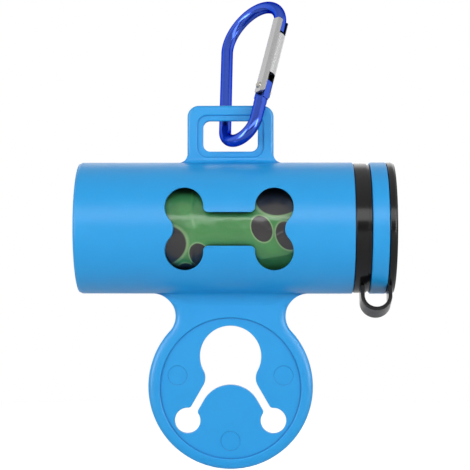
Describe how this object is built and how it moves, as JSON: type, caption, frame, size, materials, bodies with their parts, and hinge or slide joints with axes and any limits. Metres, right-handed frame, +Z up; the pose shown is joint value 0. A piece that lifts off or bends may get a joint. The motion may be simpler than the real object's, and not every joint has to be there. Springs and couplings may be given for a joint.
{
  "type": "dog poop bag dispenser",
  "caption": "Tubular waste bag dispenser with a bone-shaped window, a tethered cap, a keyhole disc for used bags and a carabiner to hang it by.",
  "frame": {"origin": "the point inside the carabiner's top bend that the dispenser hangs from", "axes": "+Z up, +X along the tube from its closed end to its cap, -Y towards the side with the bone-shaped window"},
  "size_m": [0.0905, 0.0448, 0.1386],
  "materials": {
    "housing": "moulded polypropylene, satin",
    "end_cap": "soft moulded polyethylene, satin",
    "tether_strap": "soft moulded polyethylene, satin",
    "tether_ring": "soft moulded polyethylene, satin",
    "roll_core": "bare cardboard",
    "bag_roll": "wound polyethylene film",
    "lead_bag": "printed polyethylene film",
    "carabiner_body": "anodised, polished",
    "carabiner_gate": "satin, undyed",
    "gate_rivet": "peened",
    "gate_spring": "drawn wire",
    "spring_plunger": "blackened"
  },
  "bodies": {
    "carabiner": {"carabiner_body": "carabiner_body", "gate_rivet": "gate_rivet"},
    "gate": {"carabiner_gate": "carabiner_gate", "gate_spring": "gate_spring", "spring_plunger": "spring_plunger"},
    "housing": {"housing": "housing", "bag_holder": "housing"},
    "tether": {"tether_ring": "tether_ring", "tether_strap": "tether_strap"},
    "cap": {"end_cap": "end_cap"},
    "roll": {"roll_core": "roll_core", "bag_roll": "bag_roll", "lead_bag": "lead_bag"}
  },
  "joints": [
    {"name": "loop_swing", "type": "hinge", "parent": "carabiner", "child": "housing", "pos_m": [-0.00747, -0.02015, -0.03113], "axis": [1, 0, 0], "range_deg": [-30, 75]},
    {"name": "gate_open", "type": "hinge", "parent": "carabiner", "child": "gate", "pos_m": [0.00213, -0.02122, -0.02456], "axis": [-0.6518, -0.601, 0.4626], "range_deg": [0, 30], "stiffness_Nm_per_rad": 0.02, "springref_deg": -28.65},
    {"name": "ring_turn", "type": "hinge", "parent": "housing", "child": "tether", "pos_m": [0.03013, -0.02015, -0.06488], "axis": [1, 0, 0], "continuous": true},
    {"name": "cap_pull", "type": "slide", "parent": "tether", "child": "cap", "axis": [1, 0, 0], "range_m": [0, 0.009], "deforming": ["tether_strap"]},
    {"name": "roll_spin", "type": "hinge", "parent": "housing", "child": "roll", "pos_m": [-0.00892, -0.02015, -0.06558], "axis": [1, 0, 0], "continuous": true}
  ]
}
